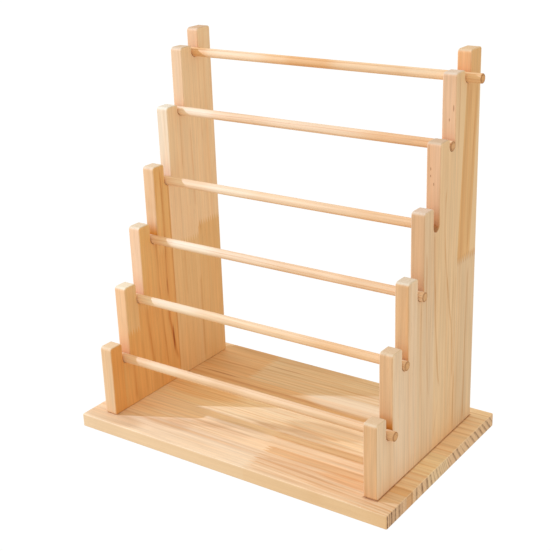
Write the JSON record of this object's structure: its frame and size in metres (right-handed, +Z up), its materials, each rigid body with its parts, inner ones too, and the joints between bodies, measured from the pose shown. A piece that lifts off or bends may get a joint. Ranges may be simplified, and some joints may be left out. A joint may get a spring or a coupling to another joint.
{
  "type": "stepped dowel rack",
  "caption": "Tabletop wooden rack: two stepped uprights on a flat base board carry six loose round rods in open slots, for rolls or ribbons.",
  "frame": {"origin": "centre of the base board's underside", "axes": "+Z up; +X to the right seen from the front and along the rods; +Y towards the tall rear posts, so the front, where the lowest rod sits, faces -Y"},
  "size_m": [0.396, 0.241, 0.4236],
  "materials": {
    "pine_board": "bare finger-jointed pine, sanded",
    "rod_wood": "bare softwood dowel, sanded",
    "screw_steel": "zinc plated"
  },
  "bodies": {
    "frame": {"base_board": "pine_board", "left_upright": "pine_board", "right_upright": "pine_board", "left_upright_screws": "screw_steel", "right_upright_screws": "screw_steel"},
    "rod_1": {"rod_1": "rod_wood"},
    "rod_2": {"rod_2": "rod_wood"},
    "rod_3": {"rod_3": "rod_wood"},
    "rod_4": {"rod_4": "rod_wood"},
    "rod_5": {"rod_5": "rod_wood"},
    "rod_6": {"rod_6": "rod_wood"}
  },
  "joints": [
    {"name": "rod_1_lift", "type": "slide", "parent": "frame", "child": "rod_1", "axis": [0, 0, 1], "range_m": [0, 0.095]},
    {"name": "rod_2_lift", "type": "slide", "parent": "frame", "child": "rod_2", "axis": [0, 0, 1], "range_m": [0, 0.095]},
    {"name": "rod_3_lift", "type": "slide", "parent": "frame", "child": "rod_3", "axis": [0, 0, 1], "range_m": [0, 0.095]},
    {"name": "rod_4_lift", "type": "slide", "parent": "frame", "child": "rod_4", "axis": [0, 0, 1], "range_m": [0, 0.095]},
    {"name": "rod_5_lift", "type": "slide", "parent": "frame", "child": "rod_5", "axis": [0, 0, 1], "range_m": [0, 0.085]},
    {"name": "rod_6_lift", "type": "slide", "parent": "frame", "child": "rod_6", "axis": [0, 0, 1], "range_m": [0, 0.05]}
  ]
}
